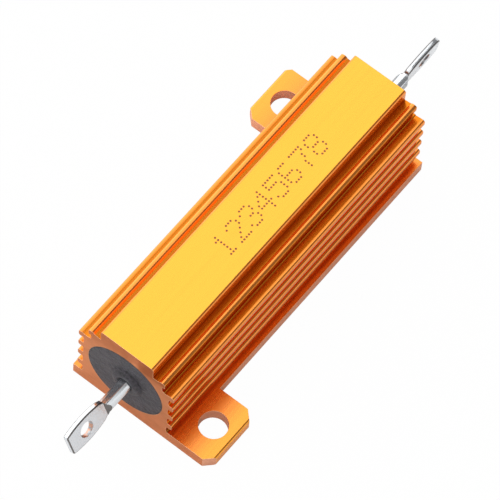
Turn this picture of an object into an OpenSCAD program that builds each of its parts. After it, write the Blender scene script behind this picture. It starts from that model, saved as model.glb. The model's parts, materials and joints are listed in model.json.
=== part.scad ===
// Wirewound power resistor in a finned aluminium housing.
// X runs across the housing, Y along it and Z up from its underside.
// The origin lies on the underside, midway between the two fixing holes.
// The housing is one extrusion: its wide base flange is cut away along both
// sides, apart from a fixing foot at two opposite corners. A wirewound ceramic
// core lies in its bore, sealed in moulding compound, and a terminal stands out
// of each end.

/* [Housing] */
// Length of the housing
housing_length = 50; // [44:1:80]
// Diameter of the bore for the resistance element
bore_d = 11.5; // [10.4:0.1:13]
// Metal below the bore
floor_wall = 1.9; // [1.2:0.1:3.5]
// Metal above the bore, up to the flat top
roof_wall = 2.4; // [2:0.1:4]
// Metal beside the bore at the roots of the ribs
side_wall = 0.85; // [0.6:0.05:2]
// Width of the flat top
top_width = 8.1; // [6:0.1:8.8]
// Rounding of the flat top's edges
top_corner = 0.35; // [0.1:0.05:0.5]

/* [Fins] */
// Number of ribs on each side
rib_count = 4; // [2:1:5]
// Height of a rib out of the side wall
rib_depth = 0.8; // [0.4:0.02:1.6]
// Thickness of a rib
rib_thickness = 1.1; // [0.8:0.05:1.3]
// Rounding of a rib's edges
rib_corner = 0.32; // [0.1:0.02:0.38]
// Rounding at the root of a rib
root_corner = 0.22; // [0.1:0.02:0.38]
// Drop from the flat top to the ledges beside it
ledge_drop = 1.7; // [1.2:0.1:1.9]
// Thickness of a ledge
ledge_thickness = 1.1; // [0.8:0.05:1.3]
// How far a ledge's edge lies inside the roots of the ribs
ledge_inset = 0.68; // [0.4:0.02:0.9]
// Rounding of a ledge's edges
ledge_corner = 0.2; // [0.1:0.05:0.4]
// Radius of the rounded lip along a ledge
lip_radius = 0.6; // [0.5:0.05:0.8]
// Crest of the lip from the ledge's edge
lip_inset = 0.45; // [0.35:0.05:0.5]
// Height of the lip's crest above the channel's floor
lip_height = 0.2; // [0.1:0.02:0.3]
// Depth of the channel beside the flat top
channel_depth = 0.38; // [0.1:0.02:0.5]
// Height of the slot under a ledge
slot_height = 0.95; // [0.6:0.05:1.2]
// Depth of the slot under a ledge
slot_depth = 0.4; // [0.2:0.05:0.5]
// Start of the top rib's groove, inside the roots of the ribs
rib_groove_inset = 0.74; // [0.5:0.02:0.8]
// Width of the top rib's groove
rib_groove_width = 0.92; // [0.6:0.02:0.96]
// Depth of the top rib's groove
rib_groove_depth = 0.14; // [0.04:0.02:0.3]

/* [Base and feet] */
// Thickness of the base and the feet
base_thickness = 1.95; // [1.4:0.05:2.6]
// How far the base stands out past the ribs
base_lip = 0.6; // [0.2:0.02:1.5]
// Rounding of the base flange's edges
base_corner = 0.32; // [0.1:0.02:0.5]
// How far a foot stands out past the base
foot_reach = 5.6; // [5:0.1:8]
// Length of a foot along the housing
foot_length = 8.9; // [7.6:0.1:12]
// Diameter of a fixing hole
foot_hole_d = 3.8; // [2.5:0.1:4.4]
// Centre of a fixing hole from the end of the housing
hole_from_end = 4.5; // [3.6:0.1:5]
// Centre of a fixing hole from the foot's outer edge
hole_from_edge = 3.1; // [2.8:0.1:3.4]
// Cut across the inner corner of each foot
inner_cut = 1.2; // [0.4:0.1:1.8]
// Cut across the end corner of the near foot
near_end_cut = 1.25; // [0.4:0.05:1.8]
// Cut across the end corner of the far foot
far_end_cut = 0.7; // [0.4:0.05:1.8]

/* [Resistance element] */
// Diameter of the ceramic core
core_d = 6.2; // [4.6:0.1:7]
// Rounding of the core's ends
core_corner = 0.3; // [0.1:0.05:0.6]
// Depth of compound over the terminal heads
end_cover = 4.2; // [3:0.1:8]
// Diameter of the resistance wire
wire_d = 0.5; // [0.3:0.05:0.6]
// Distance between two turns of the wire
turn_pitch = 1.5; // [1.2:0.1:3]
// Length of the core that an end cap grips
cap_grip = 5; // [3:0.1:8]
// Wall of an end cap
cap_wall = 0.35; // [0.2:0.05:0.5]

/* [Terminals] */
// Diameter of the terminal pin
pin_d = 1.85; // [1.4:0.05:2.4]
// Diameter of the head that is welded to the end cap
head_d = 4; // [3:0.1:5]
// Thickness of the head
head_thickness = 0.8; // [0.4:0.1:1.4]
// Length of round pin outside the housing, near end
near_pin_out = 3.85; // [2:0.05:8]
// Length of round pin outside the housing, far end
far_pin_out = 4.75; // [2:0.05:8]
// Length of the flattened blade
blade_length = 7.3; // [6.6:0.1:12]
// Greatest width of the blade
blade_width = 3.75; // [3.2:0.05:5]
// Thickness of the blade
blade_thickness = 0.76; // [0.4:0.02:1.2]
// How far the blade's sides stand out past the pin where the slope ends
flare_start = 0.3; // [0.1:0.05:0.6]
// Length over which the blade widens, from the start of the slope
flare_length = 1.9; // [1.6:0.1:3]
// Radius of the blade's bowed edges
blade_bow = 13; // [9:0.5:40]
// Length of the slope from the round pin to the flat blade
slope_length = 0.7; // [0.4:0.05:1.5]
// Rounding of the near blade's tip corners
near_tip_corner = 0.3; // [0.1:0.05:1]
// Rounding of the far blade's tip corners
far_tip_corner = 0.8; // [0.1:0.05:1]
// Diameter of the eye in the blade
eye_d = 2.15; // [1.2:0.05:2.4]
// Centre of the eye from the tip of the blade
eye_from_tip = 3.05; // [2:0.05:3.6]
// Lean of the near blade from upright, towards +X
near_lean = -23; // [-90:1:90]
// Lean of the far blade from upright, towards +X
far_lean = 5.5; // [-90:0.5:90]
// Offset of the near terminal from the bore's axis, towards +X
near_offset = 0.25; // [-0.6:0.05:0.6]
// Offset of the far terminal from the bore's axis, towards +X
far_offset = 0.45; // [-0.6:0.05:0.6]

/* [Moulding compound] */
// Height of the mound of compound around a pin
mound_height = 0.35; // [0.1:0.05:0.8]
// Width of the mound around a pin
mound_width = 1.1; // [0.5:0.1:1.6]
// Width of the mound's crest, against the pin
mound_crest = 0.15; // [0.05:0.05:0.4]

/* [Hidden] */
$fn = 96;

orange_anodised = [0.83, 0.42, 0.12];
dark_compound = [0.27, 0.26, 0.28];
white_ceramic = [0.92, 0.90, 0.84];
resistance_alloy = [0.55, 0.50, 0.45];
cap_steel = [0.70, 0.71, 0.72];
tinned_metal = [0.82, 0.82, 0.83];

// Housing levels, from the underside up
bore_r = bore_d / 2;
axis_z = floor_wall + bore_r;
housing_height = axis_z + bore_r + roof_wall;
ledge_z = housing_height - ledge_drop;
rib_top_z = ledge_z - ledge_thickness - slot_height;
rib_pitch = (rib_top_z - base_thickness) / rib_count;

// Housing half widths, from the middle plane out
root_x = bore_r + side_wall;
rib_x = root_x + rib_depth;
ledge_x = root_x - ledge_inset;
slot_x = ledge_x - slot_depth;
base_x = rib_x + base_lip;
foot_x = base_x + foot_reach;
hole_x = foot_x - hole_from_edge;
end_y = housing_length / 2;
hole_y = end_y - hole_from_end;

// Resistance element, outwards from the middle of the housing
head_y = end_y - end_cover;
cap_y = head_y - head_thickness;
core_y = cap_y - cap_wall;
core_r = core_d / 2;
cap_r = core_r + cap_wall;
wound_y = core_y - cap_grip;

// Shape of the resistance wire's helix
wire_sides = 6;
turn_steps = 18;
wire_gap = 0.02;
wire_orbit = (core_r + wire_gap) / cos(180 / turn_steps) + wire_d / 2;
wound_r = wire_orbit + wire_d / 2 + wire_gap;
wire_run = 2 * wound_y - wire_d - 2 * wire_gap;
wire_steps = round(wire_run / turn_pitch * turn_steps);

cut = 1;

// A bar across the profile, centred on the middle plane, with rounded corners
module bar(half_width, low, high, corner) {
    translate([-half_width + corner, low])
        square([2 * (half_width - corner), high - low]);
    translate([-half_width, low + corner])
        square([2 * half_width, high - low - 2 * corner]);
    for (side = [-1, 1], level = [low + corner, high - corner])
        translate([side * (half_width - corner), level])
            circle(corner);
}

// The solid block that the ribs grow from, with rounded grooves between them
module grooved_block() {
    groove = rib_pitch - rib_thickness;
    difference() {
        translate([-root_x - root_corner, base_thickness / 2])
            square([2 * (root_x + root_corner), rib_top_z - rib_thickness / 2 - base_thickness / 2]);
        for (rib = [0 : rib_count - 1], side = [0, 1])
            mirror([side, 0])
                translate([root_x + 2 * rib_depth, base_thickness + rib * rib_pitch])
                    bar(2 * rib_depth, 0, groove, root_corner);
    }
}

// Space over a ledge: a channel that falls towards the flat top, and a rounded lip
module channel() {
    inner = top_width / 2;
    lip_x = ledge_x - lip_inset;
    difference() {
        polygon([[inner, ledge_z + cut], [inner, ledge_z - channel_depth],
                 [lip_x, ledge_z - lip_height], [ledge_x + cut, ledge_z - lip_radius],
                 [ledge_x + cut, ledge_z + cut]]);
        translate([lip_x, ledge_z - lip_radius])
            circle(lip_radius);
    }
}

// Groove along the top rib: steep beside its inner ridge, and shallow outwards
module rib_groove() {
    inner = root_x - rib_groove_inset;
    outer = inner + rib_groove_width;
    above = rib_top_z + slot_height / 2;
    polygon([[inner, above], [inner, rib_top_z],
             [inner + rib_groove_depth, rib_top_z - rib_groove_depth],
             [outer, rib_top_z], [outer, above]]);
}

// Cross-section of the extrusion
module section() {
    difference() {
        union() {
            bar(foot_x, 0, base_thickness, base_corner);
            grooved_block();
            for (rib = [1 : rib_count])
                bar(rib_x, base_thickness + rib * rib_pitch - rib_thickness,
                    base_thickness + rib * rib_pitch, rib_corner);
            translate([-slot_x, rib_top_z - rib_thickness / 2])
                square([2 * slot_x, ledge_thickness + slot_height]);
            bar(ledge_x, ledge_z - ledge_thickness, ledge_z, ledge_corner);
            bar(top_width / 2, ledge_z - ledge_thickness, housing_height, top_corner);
        }
        for (side = [0, 1])
            mirror([side, 0]) {
                channel();
                rib_groove();
            }
        translate([0, axis_z])
            circle(bore_r);
    }
}

// Outline of a foot seen from above, in the corner where X and Y are positive
module foot_outline(end_cut) {
    inner_y = end_y - foot_length;
    polygon([[0, end_y], [foot_x - end_cut, end_y], [foot_x, end_y - end_cut],
             [foot_x, inner_y + inner_cut], [foot_x - inner_cut, inner_y], [0, inner_y]]);
}

// Outline of the housing seen from above, after the flange is cut away
module outline() {
    translate([-base_x, -end_y])
        square([2 * base_x, housing_length]);
    mirror([0, 1])
        foot_outline(near_end_cut);
    mirror([1, 0])
        foot_outline(far_end_cut);
}

module housing() {
    color(orange_anodised)
        difference() {
            intersection() {
                rotate([90, 0, 0])
                    linear_extrude(housing_length + 2 * cut, center = true)
                        section();
                linear_extrude(housing_height + cut)
                    outline();
            }
            for (end = [-1, 1])
                translate([-end * hole_x, end * hole_y, -cut])
                    cylinder(d = foot_hole_d, h = base_thickness + 2 * cut);
        }
}

// Puts a thing that points up from z = 0 on the bore's axis, pointing out of the
// near end, offset towards +X and with its own X axis leaning from upright
module at_near_end(offset = 0, lean = 0) {
    translate([offset, 0, axis_z])
        rotate([90, 0, 0])
            rotate([0, 0, 90 - lean])
                children();
}

// The same for the far end
module at_far_end(offset = 0, lean = 0) {
    translate([offset, 0, axis_z])
        rotate([-90, 0, 0])
            rotate([0, 0, lean - 90])
                children();
}

// Half of the space that the wound core and its cap fill, from the middle out
module element_space() {
    cylinder(r = wound_r, h = wound_y);
    cylinder(r = cap_r, h = cap_y);
}

// Space that a terminal's head and pin fill inside the compound
module terminal_space() {
    cylinder(d = head_d, h = head_y);
    cylinder(d = pin_d, h = end_y + mound_height + cut);
}

// Compound that has climbed a little around a pin
module mound() {
    translate([0, 0, end_y])
        cylinder(r1 = pin_d / 2 + mound_width, r2 = pin_d / 2 + mound_crest, h = mound_height);
}

// Compound that fills the bore around the element and its terminals
module moulding_compound() {
    color(dark_compound)
        difference() {
            union() {
                translate([0, 0, axis_z])
                    rotate([90, 0, 0])
                        cylinder(r = bore_r, h = housing_length, center = true);
                at_near_end(near_offset)
                    mound();
                at_far_end(far_offset)
                    mound();
            }
            at_near_end()
                element_space();
            at_far_end()
                element_space();
            at_near_end(near_offset)
                terminal_space();
            at_far_end(far_offset)
                terminal_space();
        }
}

// Ceramic rod with rounded ends
module ceramic_core() {
    color(white_ceramic)
        translate([0, 0, axis_z])
            rotate([90, 0, 0])
                rotate_extrude()
                    intersection() {
                        bar(core_r, -core_y, core_y, core_corner);
                        translate([0, -core_y])
                            square([core_r, 2 * core_y]);
                    }
}

// Corner of ring number step of the wire, at the angle around the wire
function wire_point(step, angle) =
    let (turn = step * 360 / turn_steps,
         reach = wire_orbit + wire_d / 2 * cos(angle),
         along = (step / wire_steps - 0.5) * wire_run + wire_d / 2 * sin(angle))
    [reach * cos(turn), reach * sin(turn), along];

// One closed tube wound round the core
module resistance_wire() {
    points = [for (step = [0 : wire_steps], side = [0 : wire_sides - 1])
              wire_point(step, side * 360 / wire_sides)];
    walls = [for (step = [0 : wire_steps - 1], side = [0 : wire_sides - 1])
             let (a = step * wire_sides + side,
                  b = step * wire_sides + (side + 1) % wire_sides)
             each [[a, b, b + wire_sides], [a, b + wire_sides, a + wire_sides]]];
    first_end = [for (side = [wire_sides - 1 : -1 : 0]) side];
    last_end = [for (side = [0 : wire_sides - 1]) wire_steps * wire_sides + side];
    color(resistance_alloy)
        translate([0, 0, axis_z])
            rotate([90, 0, 0])
                polyhedron(points, concat(walls, [first_end, last_end]));
}

// Metal cup pressed over one end of the core
module end_cap() {
    color(cap_steel)
        difference() {
            translate([0, 0, wound_y])
                cylinder(r = cap_r, h = cap_y - wound_y);
            translate([0, 0, wound_y])
                rotate_extrude()
                    intersection() {
                        bar(core_r, -core_y, cap_grip, core_corner);
                        translate([0, -cut])
                            square([core_r, cap_grip + cut]);
                    }
        }
}

module end_cap_near() {
    at_near_end()
        end_cap();
}

module end_cap_far() {
    at_far_end()
        end_cap();
}

// Terminal: a headed pin whose outer end is pressed into a flat blade with an eye
module terminal(pin_out, tip_corner) {
    blade_z = end_y + pin_out;
    flat_z = blade_z + slope_length;
    tip_z = blade_z + blade_length;
    eye_z = tip_z - eye_from_tip;
    color(tinned_metal)
        difference() {
            union() {
                translate([0, 0, cap_y])
                    cylinder(d = head_d, h = head_thickness);
                intersection() {
                    union() {
                        translate([0, 0, cap_y])
                            cylinder(d = pin_d, h = flat_z - cap_y);
                        rotate([90, 0, 0])
                            linear_extrude(2 * pin_d, center = true)
                                blade_face(blade_z, flat_z, tip_z, eye_z, tip_corner);
                    }
                    rotate([90, 0, 90])
                        linear_extrude(2 * blade_width, center = true)
                            blade_edge(blade_z, flat_z, tip_z);
                }
            }
            translate([0, 0, eye_z])
                rotate([90, 0, 0])
                    cylinder(d = eye_d, h = pin_d, center = true);
        }
}

// Blade seen face on: it spreads out of the pin, has bowed edges and a blunt tip
module blade_face(blade_z, flat_z, tip_z, eye_z, tip_corner) {
    half = blade_width / 2;
    start = pin_d / 2 + flare_start;
    full_z = blade_z + flare_length;
    sag = blade_bow - sqrt(pow(blade_bow, 2) - pow(tip_z - tip_corner - eye_z, 2));
    intersection() {
        intersection_for (side = [-1, 1])
            translate([side * (blade_bow - half), eye_z])
                circle(blade_bow);
        polygon([[0, blade_z], [start, flat_z], [half, full_z], [half, tip_z],
                 [-half, tip_z], [-half, full_z], [-start, flat_z]]);
        union() {
            translate([-blade_width, blade_z])
                square([2 * blade_width, tip_z - tip_corner - blade_z]);
            bar(half - sag, tip_z - 3 * tip_corner, tip_z, tip_corner);
        }
    }
}

// Pin and blade seen edge on: a slope on each side, down to the blade's thickness
module blade_edge(blade_z, flat_z, tip_z) {
    pin_r = pin_d / 2;
    half = blade_thickness / 2;
    steepness = slope_length / (pin_r - half);
    polygon([[pin_d, cap_y - cut], [pin_d, blade_z - pin_r * steepness],
             [half, flat_z], [half, tip_z + cut],
             [-half, tip_z + cut], [-half, flat_z],
             [-pin_d, blade_z - pin_r * steepness], [-pin_d, cap_y - cut]]);
}

module terminal_near() {
    at_near_end(near_offset, near_lean)
        terminal(near_pin_out, near_tip_corner);
}

module terminal_far() {
    at_far_end(far_offset, far_lean)
        terminal(far_pin_out, far_tip_corner);
}

housing();
moulding_compound();
ceramic_core();
resistance_wire();
end_cap_near();
end_cap_far();
terminal_near();
terminal_far();
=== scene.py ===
"""Finishes, soft edges, marking and studio for an aluminium housed power resistor.

Lengths are in metres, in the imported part's own frame: X across the housing, Y along
it and Z up from its underside, with the origin midway between the two fixing holes.
"""

import json
import math

import bmesh
import bpy
from bpy.props import FloatProperty, FloatVectorProperty, PointerProperty, StringProperty
from mathutils import Matrix, Vector


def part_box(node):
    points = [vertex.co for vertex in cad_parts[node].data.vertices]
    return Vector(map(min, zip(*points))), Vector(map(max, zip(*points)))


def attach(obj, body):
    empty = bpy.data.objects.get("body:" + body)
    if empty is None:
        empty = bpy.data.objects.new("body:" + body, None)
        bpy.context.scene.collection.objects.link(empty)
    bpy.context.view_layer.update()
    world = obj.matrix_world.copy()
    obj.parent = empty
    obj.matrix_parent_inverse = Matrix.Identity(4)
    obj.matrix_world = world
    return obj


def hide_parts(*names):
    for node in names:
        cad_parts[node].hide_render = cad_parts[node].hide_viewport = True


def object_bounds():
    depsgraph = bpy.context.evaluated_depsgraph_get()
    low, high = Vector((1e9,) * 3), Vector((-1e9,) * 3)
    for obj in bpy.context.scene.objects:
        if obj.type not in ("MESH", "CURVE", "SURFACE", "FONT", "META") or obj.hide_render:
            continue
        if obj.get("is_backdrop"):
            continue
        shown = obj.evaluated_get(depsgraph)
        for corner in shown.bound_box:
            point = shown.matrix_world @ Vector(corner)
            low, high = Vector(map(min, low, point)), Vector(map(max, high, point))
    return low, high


bl_info = {
    "name": "Housed Power Resistor",
    "version": (1, 0, 0),
    "blender": (4, 5, 0),
    "location": "3D View > Sidebar > Resistor",
    "description": "Finishes an aluminium housed power resistor and sets up its studio",
    "category": "Object",
}

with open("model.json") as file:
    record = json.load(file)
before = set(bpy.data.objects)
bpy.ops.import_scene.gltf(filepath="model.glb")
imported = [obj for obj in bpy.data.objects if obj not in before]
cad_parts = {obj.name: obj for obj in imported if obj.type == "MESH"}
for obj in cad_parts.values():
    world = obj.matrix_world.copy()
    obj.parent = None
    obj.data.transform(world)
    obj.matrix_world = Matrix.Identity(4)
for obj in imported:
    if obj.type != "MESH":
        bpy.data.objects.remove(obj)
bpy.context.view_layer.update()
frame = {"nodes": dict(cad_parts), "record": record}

MM = 0.001
BODY = "root"
WELD = 0.0005 * MM
UP = Vector((0, 0, 1))
# Turn of the line through both fixing holes: 41 mm apart along the housing, 21 mm across it
HOLE_TURN = math.atan2(41, 21)
HOLE_REACH = 2.1 * MM
FLANGE_TOP = 2.1 * MM
# Least angle of an edge that counts as sharp, on the housing and on a terminal's blade
HOUSING_SHARP = math.radians(40)
BLADE_SHARP = math.radians(60)
# Colour of cut metal seen at a low angle
GLANCING_CUT = (1.0, 0.88, 0.78, 1)


# ---------------------------------------------------------------- sizes and colours

def length(name, description, value):
    """A length in millimetres, kept in metres."""
    return FloatProperty(name=name, description=description, default=value * MM,
                         min=0, subtype="DISTANCE", unit="LENGTH", precision=5)


def colour(name, description, value):
    """A colour in linear light."""
    return FloatVectorProperty(name=name, description=description, default=value,
                               size=3, min=0, max=1, subtype="COLOR")


def share(name, description, value, most=1.0):
    """A plain factor."""
    return FloatProperty(name=name, description=description, default=value,
                         min=0, max=most, subtype="FACTOR")


class HousingLook(bpy.types.PropertyGroup):
    # Painted highlight: the flat top is the same oxide as the rest, painted gold where it catches the
    # light.
    gold: colour("Anodised gold", "Dyed oxide on the flat top", (1.0, 0.46, 0.028))
    # Painted light: the lips, rib crests and feet are painted a lighter orange where light falls on
    # them.
    orange: colour("Anodised orange", "Dyed oxide on the lips, rib crests and feet", (1.0, 0.305, 0.036))
    # Painted shade: the grooves are painted a deeper orange where shade falls in them.
    deep: colour("Deep orange", "Dyed oxide down in the grooves", (0.82, 0.23, 0.010))
    # Painted shade: the ledge under the ribs is painted darker, in the shade of the ribs.
    shaded: colour("Shaded orange", "Dyed oxide on the ledge under the ribs", (0.40, 0.14, 0.008))
    glancing: colour("Glancing tint", "Colour of the dyed oxide seen at a low angle", (1.0, 0.78, 0.52))
    sawn: colour("Sawn metal", "Cut ends and milled edges of the extrusion", (0.80, 0.29, 0.12))
    # Darker towards the top of the cut ends, and a painted reflection of the terminal's blade as a dark
    # patch near the top corner.
    darker_top_and_blade_reflection: colour("Stained metal", "Cut metal near the top, where more dye took", (0.40, 0.09, 0.012))
    # Bright metal with a painted highlight along the broken edges of the cuts.
    wear_and_edge_highlight: colour("Worn edge", "Bright metal along the broken edges of the cuts", (0.95, 0.58, 0.34))
    drilled: colour("Drilled metal", "Walls of the fixing holes", (1.0, 0.50, 0.32))
    roughness: share("Roughness", "Roughness of the anodised surface", 0.27)
    cut_roughness: share("Cut roughness", "Roughness of the sawn and milled surfaces", 0.38)
    edge: length("Broken edge", "Width of the broken edge along every cut", 0.09)
    line_pitch: length("Die lines", "Distance between the fine lines along the extrusion", 0.4)


class CompoundLook(bpy.types.PropertyGroup):
    body: colour("Compound", "Cured moulding compound", (0.019, 0.016, 0.021))
    grain: length("Grain", "Size of the grains in the compound", 0.3)
    roughness: share("Roughness", "Roughness of the compound", 0.48)
    collar: length("Collar", "Radius of the raised ring of compound round a pin", 1.55)
    collar_width: length("Collar width", "Width of that ring's round section", 1.8)
    collar_height: length("Collar height", "How far the ring stands out of the flat face", 0.5)
    collar_sink: length("Collar sink", "Depth of the section's centre below the flat face", 0.4)


class ElementLook(bpy.types.PropertyGroup):
    ceramic: colour("Ceramic", "Fired ceramic of the core", (0.80, 0.77, 0.68))
    alloy: colour("Resistance alloy", "Drawn resistance wire", (0.46, 0.42, 0.37))
    steel: colour("Cap steel", "Plated steel of the end caps", (0.60, 0.60, 0.61))


class TerminalLook(bpy.types.PropertyGroup):
    tin: colour("Tin", "Bright tin plating", (0.80, 0.83, 0.86))
    # Painted dark reflection on the slopes from pin to blade and on the rounded blade edges.
    slope_dark_reflection: colour("Pressed metal", "Thin, dull plating on the slopes and along the edges",
                    (0.20, 0.19, 0.185))
    copper: colour("Bare copper", "Metal laid bare by the punch in the eye", (0.66, 0.38, 0.28))
    roughness: share("Roughness", "Roughness of the plating", 0.18)
    edge: length("Blade edge", "Rounding of the blade's edges", 0.16)
    eye_edge: length("Eye edge", "Rounding of the eye's rims", 0.05)


class MarkingLook(bpy.types.PropertyGroup):
    text: StringProperty(name="Digits", description="Plain digits put on the flat top",
                         default="12345678")
    ink: colour("Ink", "Colour of the dots", (0.36, 0.12, 0.03))
    dot: length("Dot", "Diameter of a dot", 0.31)
    film: length("Film", "Thickness of the ink", 0.012)
    pitch_along: length("Pitch along", "Distance between dots along the housing", 0.45)
    pitch_across: length("Pitch across", "Distance between dots across the housing", 0.48)
    advance: length("Advance", "Distance between digits", 2.58)
    start: FloatProperty(name="Start", description="Where the first digit starts along the housing",
                         default=-7.1 * MM, subtype="DISTANCE", unit="LENGTH", precision=5)


class StudioLook(bpy.types.PropertyGroup):
    floor: colour("Floor", "Matt paint of the floor", (0.85, 0.85, 0.85))
    backdrop_light: share("Backdrop", "How white the floor and backdrop show", 0.98)
    gloss_light: share("Floor in gloss", "How white the floor shows in polished metal", 0.1)
    surround: share("Surround", "Brightness of the walls around the part", 1.0, 4)
    ceiling: share("Ceiling", "Brightness of the dim ceiling", 0.22, 4)
    softbox: share("Softbox", "Brightness of the large soft lamp on the left", 1.25, 8)
    softbox_turn: FloatProperty(name="Softbox turn", description="Turn of the soft lamp from overhead",
                                default=math.radians(-46), subtype="ANGLE", unit="ROTATION")
    softbox_width: FloatProperty(name="Softbox width", description="Width of the soft lamp",
                                 default=1.72, subtype="DISTANCE", unit="LENGTH")
    softbox_length: FloatProperty(name="Softbox length", description="Length of the soft lamp",
                                  default=1.5, subtype="DISTANCE", unit="LENGTH")
    azimuth: FloatProperty(name="Azimuth", description="Camera's turn round the part",
                           default=math.radians(32.64), subtype="ANGLE", unit="ROTATION")
    elevation: FloatProperty(name="Elevation", description="Camera's height over the horizon",
                             default=math.radians(62.574), subtype="ANGLE", unit="ROTATION")
    roll: FloatProperty(name="Roll", description="Camera's turn about its own axis",
                        default=math.radians(6.394), subtype="ANGLE", unit="ROTATION")
    aim: FloatVectorProperty(name="Aim", description="Point that the camera looks at",
                             default=(0.655 * MM, -1.323 * MM, 7.9 * MM), size=3,
                             subtype="TRANSLATION", unit="LENGTH", precision=6)
    distance: length("Distance", "Distance from the camera to that point", 619.65)
    lens: FloatProperty(name="Lens", description="Focal length in millimetres",
                        default=361.5, unit="CAMERA")


class ResistorLook(bpy.types.PropertyGroup):
    housing: PointerProperty(type=HousingLook)
    compound: PointerProperty(type=CompoundLook)
    element: PointerProperty(type=ElementLook)
    terminal: PointerProperty(type=TerminalLook)
    marking: PointerProperty(type=MarkingLook)
    studio: PointerProperty(type=StudioLook)


# ------------------------------------------------------------------ shader maths

class Wire:
    """A node's output. An expression on wires and numbers adds the Math nodes it needs."""

    def __init__(self, finish, socket):
        self.finish = finish
        self.socket = socket

    def math(self, operation, *values):
        return self.finish.node("ShaderNodeMath", {"operation": operation}, dict(enumerate(values)))

    def __add__(self, other):
        return self.math("ADD", self, other)

    __radd__ = __add__

    def __sub__(self, other):
        return self.math("SUBTRACT", self, other)

    def __rsub__(self, other):
        return self.math("SUBTRACT", other, self)

    def __mul__(self, other):
        return self.math("MULTIPLY", self, other)

    __rmul__ = __mul__

    def __pow__(self, other):
        return self.math("POWER", self, other)

    def __abs__(self):
        return self.math("ABSOLUTE", self)

    def clamp(self):
        """Held between 0 and 1."""
        return self.finish.node("ShaderNodeClamp", None, {"Value": self})


class Finish:
    """A procedural material, or the world's shader, while its nodes are laid out."""

    def __init__(self, owner):
        self.owner = owner
        owner.use_nodes = True
        self.tree = owner.node_tree
        self.tree.nodes.clear()

    def node(self, kind, settings=None, inputs=None, output=0):
        """Adds a node: its settings first, then the value or the wire of each socket."""
        made = self.tree.nodes.new(kind)
        for key, value in (settings or {}).items():
            setattr(made, key, value)
        for key, value in (inputs or {}).items():
            if isinstance(value, Wire):
                self.tree.links.new(value.socket, made.inputs[key])
            else:
                made.inputs[key].default_value = value
        return Wire(self, made.outputs[output] if len(made.outputs) else None)

    def place(self):
        """Place on the piece, in metres."""
        return self.node("ShaderNodeTexCoord", output=3)

    def axes(self):
        """The place's X, Y and Z."""
        split = self.node("ShaderNodeSeparateXYZ", None, {0: self.place()})
        outputs = split.socket.node.outputs
        return [Wire(self, outputs[axis]) for axis in range(3)]

    def stretched(self, sizes):
        """The place divided by a size along each axis, for a pattern with long or short grains."""
        return self.node("ShaderNodeVectorMath", {"operation": "DIVIDE"}, {0: self.place(), 1: sizes})

    def noise(self, sizes, detail=2.0, roughness=0.5):
        """Soft random values around 0.5, with grains of the given size along each axis."""
        return self.node("ShaderNodeTexNoise", None,
                         {"Vector": self.stretched(sizes), "Scale": 1.0,
                          "Detail": detail, "Roughness": roughness})

    def mix(self, amount, first, second):
        """A colour between two others."""
        tints = {0: amount, 6: first, 7: second}
        full = {key: tint if isinstance(tint, Wire) or key == 0 else (*tint, 1)
                for key, tint in tints.items()}
        return self.node("ShaderNodeMix", {"data_type": "RGBA"}, full, output=2)

    def step(self, value, low, high):
        """0 on low's side, 1 on high's side and a soft change between them."""
        if low > high:
            return 1 - self.step(value, high, low)
        return self.node("ShaderNodeMapRange", {"interpolation_type": "SMOOTHSTEP"},
                         {"Value": value, "From Min": low, "From Max": high})

    def bump(self, height, depth, strength=1.0, normal=None):
        """A normal that shows the height, whose full range is the given depth."""
        sockets = {"Height": height, "Distance": depth, "Strength": strength}
        if normal:
            sockets["Normal"] = normal
        return self.node("ShaderNodeBump", None, sockets)

    def surface(self, sockets):
        """Ends the material in one Principled shader."""
        shader = self.node("ShaderNodeBsdfPrincipled", None, sockets)
        self.node("ShaderNodeOutputMaterial", None, {"Surface": shader})
        return self.owner


def recorded_mount(name):
    """A mount's entry in the part's record."""
    return next(mount for mount in frame["record"]["mounts"] if mount["name"] == name)


def eye_centre(end):
    """Centre of a terminal's eye."""
    return Vector(recorded_mount("eye_" + end)["pos_m"])


def toned(tint, factor):
    """A colour made darker or lighter."""
    return [factor * part for part in tint]


def new_finish(name):
    return Finish(bpy.data.materials.new(name))


# ------------------------------------------------------------------------- finishes

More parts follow.
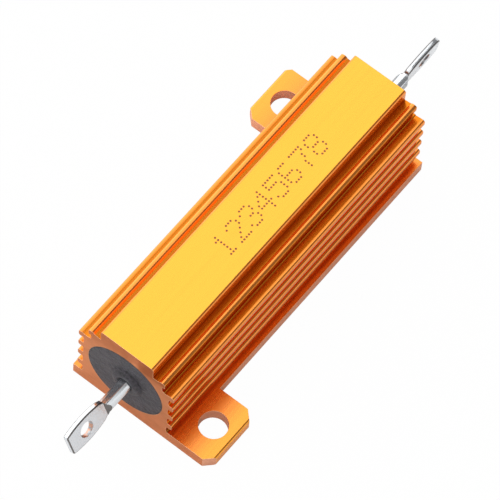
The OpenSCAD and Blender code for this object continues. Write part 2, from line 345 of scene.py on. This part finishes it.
def anodised_finish(look):
    """Anodised orange skin with faint die lines along the extrusion, and painted light and shade: a
    painted highlight in gold on the flat top, lighter orange on the lips, crests and feet, and painted
    shade in the grooves and under the ribs.
    """
    top_depths = (0.20 * MM, 0.08 * MM)
    top_reaches = (3.87 * MM, 3.62 * MM)
    lip_depths = (1.92 * MM, 1.80 * MM)
    crest_reaches = (6.75 * MM, 7.1 * MM)
    ledge_heights = (2.8 * MM, 2.2 * MM)
    ledge_reaches = (8.12 * MM, 8.02 * MM)
    foot_reaches = (9.5 * MM, 13 * MM)
    finish = new_finish("orange_anodised")
    across, _, up = finish.axes()
    lines = finish.noise((look.line_pitch, 60 * look.line_pitch, look.line_pitch), 2, 0.6)
    patches = finish.noise((6 * MM, 14 * MM, 6 * MM), 2)
    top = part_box("housing")[1].z
    reach = abs(across)
    # Painted highlight: the flat top gets the gold.
    flat_top = (finish.step(up, *(top - depth for depth in top_depths))
                * finish.step(reach, *top_reaches))
    lips = finish.step(up, *(top - depth for depth in lip_depths))
    crests = finish.step(reach, *crest_reaches)
    proud = (lips + crests).clamp()
    streaks = (lines - 0.5) * 0.5 + (patches - 0.5) * 0.15
    # Painted shade: the ledge under the ribs and the grooves are painted darker.
    ledge = finish.step(up, *ledge_heights) * finish.step(reach, *ledge_reaches)
    sunk = finish.mix(ledge, look.deep, look.shaded)
    feet = finish.step(reach, *foot_reaches)
    # Painted light: the outer feet are painted part way to gold.
    lit_skin = finish.mix(feet * 0.5, look.orange, look.gold)
    # Painted light on the lips, crests and feet and painted shade elsewhere, with die lines over both.
    lit_and_shaded_skin = finish.mix((proud + feet + streaks).clamp(), sunk, lit_skin)
    return finish.surface({
        "Base Color": finish.mix((flat_top + streaks * flat_top * 0.3).clamp(), lit_and_shaded_skin, look.gold),
        "Metallic": 1.0,
        "Specular Tint": (*look.glancing, 1),
        "Roughness": look.roughness + (lines - 0.5) * 0.14 + (patches - 0.5) * 0.06,
        "Normal": finish.bump(lines, 0.004 * MM),
        "Coat Weight": 0.15 + 0.4 * proud,
        "Coat Roughness": 0.2,
        "Coat IOR": 1.6,
    })


def cut_finish(name, tint, roughness, grain, darker_top_and_blade_reflection=None):
    """Anodised metal on a cut: fine tool marks, darker towards the top, and a painted reflection of the
    terminal's blade as a dark patch near the top corner.
    """
    darker_top_heights = (10 * MM, 15 * MM)
    corner_places = (1.2 * MM, 2.2 * MM)
    corner_heights = (12.6 * MM, 13.8 * MM)
    finish = new_finish(name)
    marks = finish.noise(grain, 4, 0.65)
    cloud = finish.noise((1.6 * MM,) * 3, 3)
    bare = finish.mix((cloud * 0.5 + marks * 0.5).clamp(), tint, toned(tint, 0.65))
    across, _, up = finish.axes()
    # Painted reflection of the terminal's blade: a dark patch near the top corner of the cut.
    corner = finish.step(across, *corner_places) * finish.step(up, *corner_heights)
    # Darker towards the top.
    height = finish.step(up, *darker_top_heights)
    darker_top_and_reflection = (height * 0.6 + corner * 0.5 + (cloud - 0.5) * 0.5).clamp()
    return finish.surface({
        "Base Color": finish.mix(darker_top_and_reflection, bare, darker_top_and_blade_reflection or tint),
        "Metallic": 1.0,
        "Specular Tint": GLANCING_CUT,
        "Roughness": roughness + (marks - 0.5) * 0.2,
        "Normal": finish.bump(marks, 0.008 * MM),
    })


def compound_finish(look):
    """Dark filled resin: mottled grains, shallow waves, and painted shade round the pins and along the
    edge of the bore.
    """
    mid_length = (-1 * MM, 1 * MM)
    rim_reaches = (5.45 * MM, 5.75 * MM)
    finish = new_finish("dark_compound")
    near, far = eye_centre("near"), eye_centre("far")
    across, along, up = finish.axes()
    pin_x = near.x + (far.x - near.x) * finish.step(along, *mid_length)
    reach = ((across - pin_x) ** 2 + (up - near.z) ** 2) ** 0.5
    grains = finish.noise((look.grain,) * 3, 4, 0.65)
    waves = finish.noise((6 * look.grain,) * 3, 2)
    # Painted shade in the hollow round each pin.
    crevice_shade = finish.step(reach, 0.8 * look.collar, 0.6 * look.collar)
    # Painted shade along the edge of the bore.
    rim_shade = finish.step((across ** 2 + (up - near.z) ** 2) ** 0.5, *rim_reaches)
    body = finish.mix((finish.step(grains, 0.3, 0.7) + (waves - 0.5) * 0.5 - rim_shade * 0.7).clamp(),
                      toned(look.body, 0.2), toned(look.body, 2.8))
    waved = finish.bump(waves, 0.35 * MM)
    return finish.surface({
        "Base Color": finish.mix(crevice_shade * 0.85, body, toned(look.body, 0.15)),
        "Roughness": look.roughness + (grains - 0.5) * 0.3 + crevice_shade * 0.3,
        "Normal": finish.bump(grains, 0.1 * MM, 1.0, waved),
    })


def ceramic_finish(look):
    """Fired white ceramic with a few darker specks."""
    finish = new_finish("white_ceramic")
    specks = finish.noise((0.3 * MM,) * 3, 4, 0.7)
    return finish.surface({
        "Base Color": finish.mix(finish.step(specks, 0.55, 0.75), look.ceramic,
                                 toned(look.ceramic, 0.8)),
        "Roughness": 0.62 + (specks - 0.5) * 0.2,
        "Normal": finish.bump(specks, 0.02 * MM),
    })


def plain_metal_finish(name, tint, roughness, grain):
    """Bare or plated metal with faint drawn lines."""
    finish = new_finish(name)
    lines = finish.noise(grain, 3, 0.6)
    return finish.surface({
        "Base Color": finish.mix(lines * 0.5, tint, toned(tint, 0.85)),
        "Metallic": 1.0,
        "Roughness": roughness + (lines - 0.5) * 0.15,
        "Normal": finish.bump(lines, 0.003 * MM),
    })


def punched_finish(look):
    """Wall of the eye: bare copper where the punch tore the plating."""
    finish = new_finish("punched_eye")
    torn = finish.noise((1.1 * MM, 0.5 * MM, 0.5 * MM), 3)
    dulled = toned(look.tin, 0.5)
    return finish.surface({
        "Base Color": finish.mix(finish.step(torn, 0.48, 0.60), dulled, look.copper),
        "Metallic": 1.0,
        "Roughness": 0.25 + torn * 0.2,
        "Normal": finish.bump(torn, 0.01 * MM),
    })


def tin_finish(look):
    """Bright tin plating with handling scratches."""
    finish = new_finish("bright_tin")
    scratches = finish.noise((0.05 * MM, 1.2 * MM, 0.05 * MM), 3, 0.7)
    cloud = finish.noise((0.7 * MM,) * 3, 3)
    wear_and_edge_highlight = finish.step(scratches, 0.55, 0.75)
    return finish.surface({
        "Base Color": finish.mix(wear_and_edge_highlight * 0.4 + cloud * 0.2, look.tin, toned(look.tin, 0.8)),
        "Metallic": 1.0,
        "Roughness": look.roughness + wear_and_edge_highlight * 0.15 + (cloud - 0.5) * 0.06,
        "Normal": finish.bump(scratches + cloud * 0.6, 0.004 * MM),
    })


def ink_finish(look):
    """Matt ink of the marking."""
    finish = new_finish("marking_ink")
    film = finish.noise((0.12 * MM,) * 3, 3)
    return finish.surface({
        "Base Color": finish.mix(film, toned(look.ink, 0.8), look.ink),
        "Roughness": 0.6 + (film - 0.5) * 0.2,
    })


# --------------------------------------------------------------------------- pieces

def joined_copy(node):
    """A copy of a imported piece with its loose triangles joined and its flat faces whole."""
    shape = bmesh.new()
    shape.from_mesh(frame["nodes"][node].data)
    bmesh.ops.remove_doubles(shape, verts=shape.verts, dist=WELD)
    bmesh.ops.dissolve_limit(shape, angle_limit=math.radians(0.6), verts=shape.verts, edges=shape.edges)
    return shape


def outer_edges(shape, angle, wanted):
    """Edges that stand out by more than an angle and whose middle is wanted."""
    return [edge for edge in shape.edges
            if len(edge.link_faces) == 2
            and edge.calc_face_angle_signed() > angle
            and wanted((edge.verts[0].co + edge.verts[1].co) / 2)]


def soften(shape, edges, width, segments):
    """Breaks the given edges and hands back the narrow faces along them."""
    made = bmesh.ops.bevel(shape, geom=edges, offset=width, offset_type="OFFSET", segments=segments,
                           profile=0.5, affect="EDGES", material=-1, clamp_overlap=True)
    return set(made["faces"])


def add_piece(name, shape, materials, node=None, smooth_angle=35):
    """Makes a bmesh a piece of the part."""
    mesh = bpy.data.meshes.new(name)
    shape.to_mesh(mesh)
    shape.free()
    for material in materials:
        mesh.materials.append(material)
    mesh.shade_smooth()
    mesh.set_sharp_from_angle(angle=math.radians(smooth_angle))
    piece = bpy.data.objects.new(name, mesh)
    bpy.context.scene.collection.objects.link(piece)
    even = piece.modifiers.new("Even shading", "WEIGHTED_NORMAL")
    even.keep_sharp = True
    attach(piece, BODY)
    if node:
        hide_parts(node)
    return piece


def repaint(node, material):
    """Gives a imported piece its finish."""
    mesh = frame["nodes"][node].data
    mesh.materials.clear()
    mesh.materials.append(material)


def clear_piece(name):
    """Takes away a piece made by an earlier run of its operator."""
    old = bpy.data.objects.get(name)
    if old:
        bpy.data.objects.remove(old)


class RESISTOR_OT_housing(bpy.types.Operator):
    """Breaks the housing's cut edges and gives skin, cuts and holes their own finish"""
    bl_idname = "resistor.housing"
    bl_label = "Housing"

    def execute(self, context):
        look = context.scene.resistor_look.housing
        low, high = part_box("housing")
        clear_piece("anodised_housing")
        shape = joined_copy("housing")
        sharp = outer_edges(shape, HOUSING_SHARP, lambda middle: True)
        broken = soften(shape, sharp, look.edge, 2)
        self.sort_faces(shape, low, high, broken)
        saw_lines = (3 * MM, 3 * MM, 0.09 * MM)
        mill_lines = (0.1 * MM, 0.1 * MM, 2 * MM)
        drill_lines = (1 * MM, 1 * MM, 0.08 * MM)
        materials = [
            anodised_finish(look),
            cut_finish("sawn_end", look.sawn, look.cut_roughness, saw_lines, look.darker_top_and_blade_reflection),
            cut_finish("milled_edge", look.drilled, look.cut_roughness, mill_lines),
            cut_finish("drilled_wall", look.drilled, look.cut_roughness, drill_lines),
            plain_metal_finish("edge_highlight_metal", look.wear_and_edge_highlight, 0.3, (0.1 * MM,) * 3),
        ]
        add_piece("anodised_housing", shape, materials, "housing")
        return {"FINISHED"}

    @staticmethod
    def sort_faces(shape, low, high, broken):
        """Skin is slot 0, sawn ends 1, milled edges of the feet 2, hole walls 3 and the broken edges of
        the cuts 4, bright metal with a painted highlight.
        """
        end_slack = 0.02 * MM
        skin_side = high.x - 0.05 * MM
        for face in shape.faces:
            middle = face.calc_center_median()
            at_end = min(middle.y - low.y, high.y - middle.y) < end_slack
            upright = abs(face.normal.z) < 0.1
            if at_end and abs(face.normal.y) > 0.9:
                face.material_index = 1
            elif upright and middle.z < FLANGE_TOP and abs(middle.x) < skin_side:
                face.material_index = 2
                if near_hole(middle):
                    face.material_index = 3
            # The broken edges of the cuts get bright metal with a painted highlight.
            if face in broken and 0.25 < abs(face.normal.y) < 0.97:
                face.material_index = 4


def hole_centres():
    """Centres of the fixing holes on the underside."""
    reach = recorded_mount("fixing_holes")["dims"]["pcd_mm"] * MM / 2
    near = Vector((math.cos(HOLE_TURN) * reach, -math.sin(HOLE_TURN) * reach, 0))
    return [near, -near]


def near_hole(point):
    """Whether a point lies on the wall of a fixing hole."""
    flat = Vector((point.x, point.y, 0))
    return any((flat - centre).length < HOLE_REACH for centre in hole_centres())


class RESISTOR_OT_compound(bpy.types.Operator):
    """Raises a rounded collar of compound round each pin and gives the compound its grain"""
    bl_idname = "resistor.compound"
    bl_label = "Moulding compound"

    def execute(self, context):
        look = context.scene.resistor_look.compound
        clear_piece("compound_fill")
        low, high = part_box("housing")
        shape = joined_copy("moulding_compound")
        self.add_collar(shape, eye_centre("near"), low.y + look.collar_sink, look)
        self.add_collar(shape, eye_centre("far"), high.y - look.collar_sink, look)
        add_piece("compound_fill", shape, [compound_finish(look)],
                  "moulding_compound")
        return {"FINISHED"}

    @staticmethod
    def add_collar(shape, pin, sunk_y, look):
        """Turns a rounded ring about the pin, most of it sunk below the flat face."""
        centre = Vector((pin.x, sunk_y, pin.z))
        radii = (0.5 * look.collar_width, look.collar_sink + look.collar_height, 1, 1)
        place = Matrix.Translation(centre + Vector((look.collar, 0, 0))) @ Matrix.Diagonal(radii)
        made = bmesh.ops.create_circle(shape, segments=32, radius=1, matrix=place)
        edges = list({edge for vert in made["verts"] for edge in vert.link_edges})
        bmesh.ops.spin(shape, geom=made["verts"] + edges, cent=centre, axis=(0, 1, 0),
                       angle=math.tau, steps=64, use_merge=True)
        ring = {face for vert in made["verts"] for face in vert.link_faces}
        reached = set(ring)
        while ring:
            ring = {near for face in ring for edge in face.edges for near in edge.link_faces} - reached
            reached |= ring
        bmesh.ops.recalc_face_normals(shape, faces=list(reached))


class RESISTOR_OT_element(bpy.types.Operator):
    """Gives the core, the resistance wire and the end caps their finishes"""
    bl_idname = "resistor.element"
    bl_label = "Resistance element"

    def execute(self, context):
        look = context.scene.resistor_look.element
        repaint("ceramic_core", ceramic_finish(look))
        repaint("resistance_wire", plain_metal_finish("drawn_alloy", look.alloy, 0.35, (0.05 * MM,) * 3))
        caps = plain_metal_finish("pressed_steel", look.steel, 0.28, (0.06 * MM, 1.5 * MM, 0.06 * MM))
        for node in ("end_cap_near", "end_cap_far"):
            repaint(node, caps)
        return {"FINISHED"}


class RESISTOR_OT_terminals(bpy.types.Operator):
    """Rounds the edges of both terminals and gives them tin plating, a bare copper eye and a painted
    dark reflection on the slopes and blade edges
    """
    bl_idname = "resistor.terminals"
    bl_label = "Terminals"

    def execute(self, context):
        look = context.scene.resistor_look.terminal
        eye_to_slope = 3.5 * MM
        slope_length = 0.8 * MM
        materials = [
            tin_finish(look),
            punched_finish(look),
            plain_metal_finish("dark_reflection_tin", look.slope_dark_reflection, 0.3, (0.05 * MM, 0.6 * MM, 0.05 * MM)),
        ]
        for end in ("near", "far"):
            name = "tinned_terminal_" + end
            node = "terminal_" + end
            eye = recorded_mount("eye_" + end)
            centre = eye_centre(end)
            axis = Vector(eye["axis"]).normalized()
            hole = 1.02 * eye["dims"]["r_mm"] * MM
            clear_piece(name)
            shape = joined_copy(node)

            def reach(point):
                """Distance of a point from the eye's axis."""
                offset = point - centre
                return (offset - offset.dot(axis) * axis).length

            slope_end = abs(centre.y) - eye_to_slope
            slope_start = slope_end - slope_length
            blade = outer_edges(shape, BLADE_SHARP,
                                lambda middle: abs(middle.y) > slope_end and reach(middle) > hole)
            broken = soften(shape, blade, look.edge, 3)
            rims = outer_edges(shape, BLADE_SHARP, lambda middle: reach(middle) < hole)
            soften(shape, rims, look.eye_edge, 2)
            for face in shape.faces:
                middle = face.calc_center_median()
                on_slope = abs(middle.y) > slope_start and 0.3 < abs(face.normal.y) < 0.9
                if reach(middle) < hole and abs(face.normal.dot(axis)) < 0.3:
                    face.material_index = 1
                # Painted dark reflection on the rounded blade edges and the slopes from pin to blade.
                elif face in broken or (on_slope and abs(face.normal.dot(axis)) > 0.5):
                    face.material_index = 2
            add_piece(name, shape, materials, node)
        return {"FINISHED"}


# Each digit's dots, from its top row down, five dots wide
DIGITS = {
    "0": (" ### ", "#   #", "#   #", "#   #", "#   #", "#   #", " ### "),
    "1": ("  #  ", " ##  ", "  #  ", "  #  ", "  #  ", "  #  ", " ### "),
    "2": (" ### ", "#   #", "    #", "   # ", "  #  ", " #   ", "#####"),
    "3": (" ### ", "#   #", "    #", "  ## ", "    #", "#   #", " ### "),
    "4": ("   # ", "  ## ", " # # ", "#  # ", "#####", "   # ", "   # "),
    "5": ("#####", "#    ", "#### ", "    #", "    #", "#   #", " ### "),
    "6": (" ### ", "#    ", "#    ", "#### ", "#   #", "#   #", " ### "),
    "7": ("#####", "    #", "   # ", "   # ", "  #  ", "  #  ", "  #  "),
    "8": (" ### ", "#   #", "#   #", " ### ", "#   #", "#   #", " ### "),
    "9": (" ### ", "#   #", "#   #", " ####", "    #", "    #", " ### "),
}


class RESISTOR_OT_marking(bpy.types.Operator):
    """Puts a line of plain dotted digits along the flat top"""
    bl_idname = "resistor.marking"
    bl_label = "Marking"

    def execute(self, context):
        look = context.scene.resistor_look.marking
        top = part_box("housing")[1].z
        clear_piece("dotted_marking")
        shape = bmesh.new()
        for place, digit in enumerate(look.text):
            for row, dots in enumerate(DIGITS[digit]):
                for column, dot in enumerate(dots):
                    if dot == "#":
                        across = (row - 3) * look.pitch_across
                        along = look.start + place * look.advance + column * look.pitch_along
                        spot = Matrix.Translation((across, along, top + look.film / 2))
                        bmesh.ops.create_cone(shape, cap_ends=True, segments=14, radius1=look.dot / 2,
                                              radius2=0.46 * look.dot, depth=look.film, matrix=spot)
        add_piece("dotted_marking", shape, [ink_finish(look)], smooth_angle=20)
        return {"FINISHED"}


# --------------------------------------------------------------------------- studio

def shown_white(finish, camera_share, gloss_share):
    """How much of plain white the camera, clear things and gloss see."""
    rays = finish.node("ShaderNodeLightPath")
    outputs = rays.socket.node.outputs
    camera = Wire(finish, outputs["Is Camera Ray"])
    gloss = Wire(finish, outputs["Is Glossy Ray"])
    through = Wire(finish, outputs["Is Transmission Ray"])
    return ((camera + through) * camera_share + gloss * gloss_share).clamp()


def glow(finish, kind, strength):
    """An even white glow."""
    return finish.node(kind, None, {"Color": (1, 1, 1, 1), "Strength": strength})


class RESISTOR_OT_studio(bpy.types.Operator):
    """Sets up the pale floor, the soft lamp, the bright room and the camera"""
    bl_idname = "resistor.studio"
    bl_label = "Studio"

    def execute(self, context):
        look = context.scene.resistor_look.studio
        self.lay_floor(look)
        self.light_world(look, context.scene)
        self.hang_softbox(look, context.scene)
        self.set_camera(look, context.scene)
        context.scene.view_settings.view_transform = "Standard"
        return {"FINISHED"}

    @staticmethod
    def lay_floor(look):
        """A matt floor just under the part, so the two never share a plane."""
        gap = 0.05 * MM
        half_width = 3.0
        clear_piece("studio_floor")
        shape = bmesh.new()
        level = Matrix.Translation((0, 0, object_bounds()[0].z - gap))
        bmesh.ops.create_grid(shape, x_segments=1, y_segments=1, size=half_width, matrix=level)
        mesh = bpy.data.meshes.new("studio_floor")
        shape.to_mesh(mesh)
        shape.free()
        floor = bpy.data.objects.new("studio_floor", mesh)
        bpy.context.scene.collection.objects.link(floor)
        finish = new_finish("pale_floor")
        matt = finish.node("ShaderNodeBsdfDiffuse", None, {"Color": (*look.floor, 1)})
        amount = shown_white(finish, look.backdrop_light, look.gloss_light)
        mixed = finish.node("ShaderNodeMixShader", None,
                            {0: amount, 1: matt, 2: glow(finish, "ShaderNodeEmission", 1.0)})
        finish.node("ShaderNodeOutputMaterial", None, {"Surface": mixed})
        mesh.materials.append(finish.owner)
        floor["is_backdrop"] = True

    @staticmethod
    def light_world(look, scene):
        """Bright walls and a bright front, with a ceiling that is dim above and behind."""
        ceiling_rise = (0.26, 0.46)
        ceiling_front = (-0.2, 0.1)
        scene.world = bpy.data.worlds.new("studio_room")
        finish = Finish(scene.world)
        direction = finish.node("ShaderNodeTexCoord")
        split = finish.node("ShaderNodeSeparateXYZ", None, {0: direction})
        back, height = (Wire(finish, split.socket.node.outputs[axis]) for axis in (1, 2))
        room = finish.node("ShaderNodeMixShader", None, {
            0: finish.step(height, *ceiling_rise) * finish.step(back, *ceiling_front),
            1: glow(finish, "ShaderNodeBackground", look.surround),
            2: glow(finish, "ShaderNodeBackground", look.ceiling)})
        mixed = finish.node("ShaderNodeMixShader", None, {
            0: shown_white(finish, 1.0, 0.0),
            1: room,
            2: glow(finish, "ShaderNodeBackground", 1.0)})
        finish.node("ShaderNodeOutputWorld", None, {"Surface": mixed})

    @staticmethod
    def hang_softbox(look, scene):
        """A large lamp beside and above the part, turned to face it."""
        away = 0.9
        along = 0.20
        lamp = bpy.data.lights.new("softbox", "AREA")
        lamp.shape = "RECTANGLE"
        lamp.size = look.softbox_width
        lamp.size_y = look.softbox_length
        lamp.energy = look.softbox * math.pi * look.softbox_width * look.softbox_length
        holder = bpy.data.objects.new("softbox", lamp)
        holder.location = (away * math.sin(look.softbox_turn), along,
                           away * math.cos(look.softbox_turn))
        holder.rotation_euler = (0, look.softbox_turn, 0)
        holder.visible_camera = False
        scene.collection.objects.link(holder)

    @staticmethod
    def set_camera(look, scene):
        """A long lens that looks down on the near right corner."""
        flat = math.cos(look.elevation)
        back = Vector((math.sin(look.azimuth) * flat, -math.cos(look.azimuth) * flat,
                       math.sin(look.elevation)))
        right = UP.cross(back).normalized()
        up = back.cross(right)
        turned_right = math.cos(look.roll) * right + math.sin(look.roll) * up
        turned_up = math.cos(look.roll) * up - math.sin(look.roll) * right
        lens = bpy.data.cameras.new("studio_camera")
        lens.lens = look.lens
        lens.sensor_width = 36
        lens.clip_start = 0.01
        lens.clip_end = 20
        camera = bpy.data.objects.new("studio_camera", lens)
        turn = Matrix((turned_right, turned_up, back)).transposed().to_4x4()
        camera.matrix_world = Matrix.Translation(Vector(look.aim) + look.distance * back) @ turn
        scene.collection.objects.link(camera)
        scene.camera = camera


OPERATORS = (RESISTOR_OT_housing, RESISTOR_OT_compound, RESISTOR_OT_element,
             RESISTOR_OT_terminals, RESISTOR_OT_marking, RESISTOR_OT_studio)


class RESISTOR_PT_panel(bpy.types.Panel):
    """Lists the resistor's pieces and its studio"""
    bl_idname = "RESISTOR_PT_panel"
    bl_label = "Housed power resistor"
    bl_space_type = "VIEW_3D"
    bl_region_type = "UI"
    bl_category = "Resistor"

    def draw(self, context):
        look = context.scene.resistor_look
        groups = (look.housing, look.compound, look.element, look.terminal, look.marking, look.studio)
        for operator, group in zip(OPERATORS, groups):
            box = self.layout.box()
            box.operator(operator.bl_idname)
            for name in group.bl_rna.properties.keys():
                if name not in ("rna_type", "name"):
                    box.prop(group, name)


CLASSES = (HousingLook, CompoundLook, ElementLook, TerminalLook, MarkingLook, StudioLook,
           ResistorLook, *OPERATORS, RESISTOR_PT_panel)


def register():
    for made in CLASSES:
        bpy.utils.register_class(made)
    bpy.types.Scene.resistor_look = PointerProperty(type=ResistorLook)


def unregister():
    del bpy.types.Scene.resistor_look
    for made in reversed(CLASSES):
        bpy.utils.unregister_class(made)


def main():
    register()
    bpy.ops.resistor.housing()
    bpy.ops.resistor.compound()
    bpy.ops.resistor.element()
    bpy.ops.resistor.terminals()
    bpy.ops.resistor.marking()
    bpy.ops.resistor.studio()


if __name__ == "__main__":
    main()
